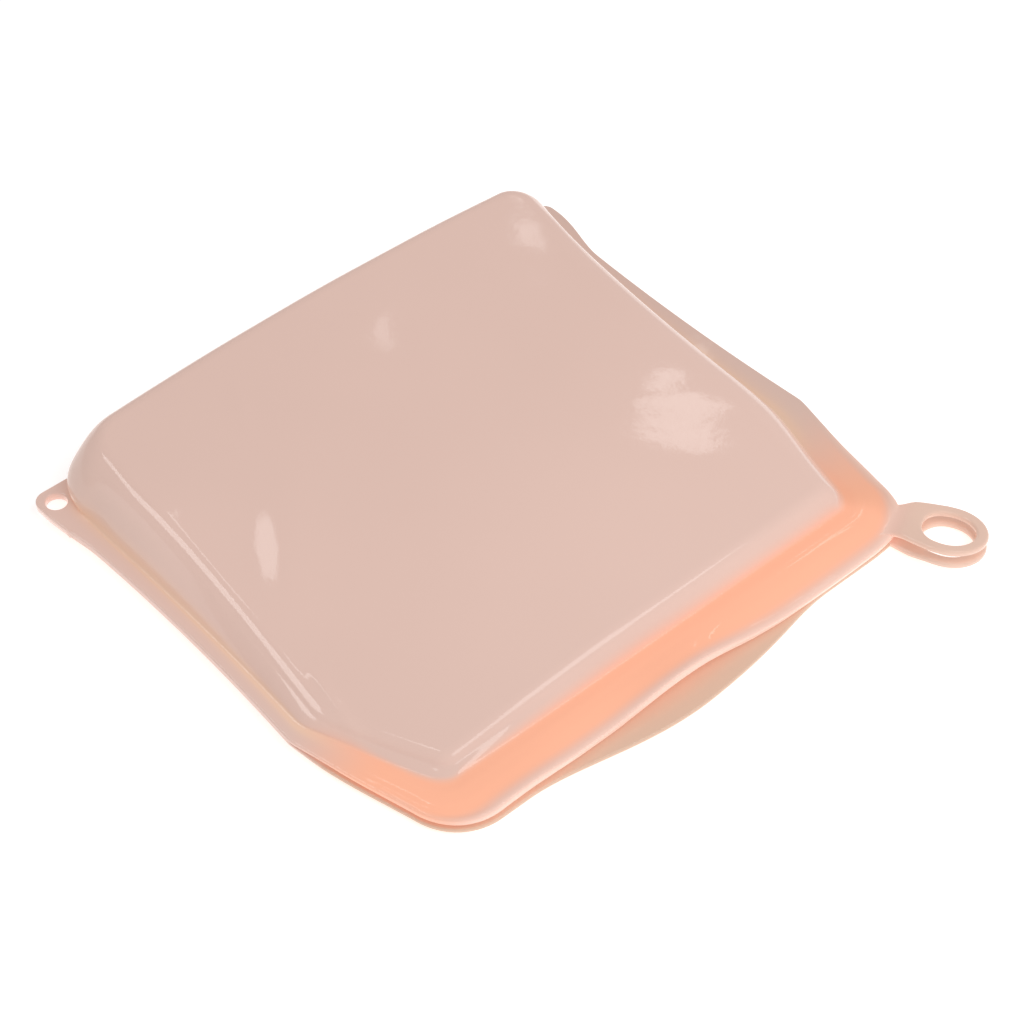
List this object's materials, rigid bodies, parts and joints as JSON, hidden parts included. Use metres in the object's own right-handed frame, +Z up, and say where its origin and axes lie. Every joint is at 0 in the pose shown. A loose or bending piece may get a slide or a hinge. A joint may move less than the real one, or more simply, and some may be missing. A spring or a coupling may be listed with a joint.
{
  "type": "reusable silicone bag",
  "caption": "Flat reusable silicone food storage bag with a moulded pouch, a pinch seal along its mouth, pull lips, hanging loops and a corner eyelet.",
  "frame": {"origin": "middle of the bag's outline, on the underside of the back wall that the bag lies on", "axes": "+Z up through the bag's thickness, -Y out of the mouth, +Y towards the closed end, +X towards the corner with the hanging loops"},
  "size_m": [0.2008, 0.1973, 0.0237],
  "materials": {
    "silicone_body": "glossy, milky translucent",
    "silicone_seal": "satin, thicker and more saturated",
    "silicone_loop": "satin, milky translucent"
  },
  "bodies": {
    "pouch": {"back_wall": "silicone_body", "front_wall": "silicone_body", "left_side_seam": "silicone_body", "right_side_seam": "silicone_body", "closed_end_seam": "silicone_body", "back_mouth_rim": "silicone_body", "seal_inner_rail": "silicone_seal", "seal_outer_rail": "silicone_seal", "back_lip": "silicone_body", "back_lip_bead": "silicone_body"},
    "mouth_flap": {"front_mouth_panel": "silicone_body", "front_mouth_rim": "silicone_body", "seal_rib": "silicone_seal", "pinch_ridge": "silicone_seal"},
    "pull_lip": {"front_lip": "silicone_body", "front_lip_bead": "silicone_body"},
    "front_hanger": {"front_loop": "silicone_loop"},
    "back_hanger": {"back_loop": "silicone_loop"},
    "ear": {"corner_eyelet": "silicone_body"}
  },
  "joints": [
    {"name": "mouth_open", "type": "hinge", "parent": "pouch", "child": "mouth_flap", "pos_m": [0, -0.033, 0.0147], "axis": [-1, 0, 0], "range_deg": [0, 60]},
    {"name": "lip_peel", "type": "hinge", "parent": "mouth_flap", "child": "pull_lip", "pos_m": [0, -0.08255, 0.006], "axis": [-1, 0, 0], "range_deg": [0, 60]},
    {"name": "front_loop_flex", "type": "hinge", "parent": "pull_lip", "child": "front_hanger", "pos_m": [0.0817, -0.0856, 0.0076], "axis": [-0.8919, -0.4522, 0], "range_deg": [0, 50]},
    {"name": "back_loop_flex", "type": "hinge", "parent": "pouch", "child": "back_hanger", "pos_m": [0.0817, -0.0856, 0.0026], "axis": [-0.8919, -0.4522, 0], "range_deg": [0, 50]},
    {"name": "ear_flex", "type": "hinge", "parent": "pouch", "child": "ear", "pos_m": [-0.08474, 0.08474, 0.006], "axis": [0.7071, 0.7071, 0], "range_deg": [0, 50]}
  ],
  "couplings": [
    {"joint": "back_loop_flex", "follows": "front_loop_flex", "ratio": 1}
  ]
}
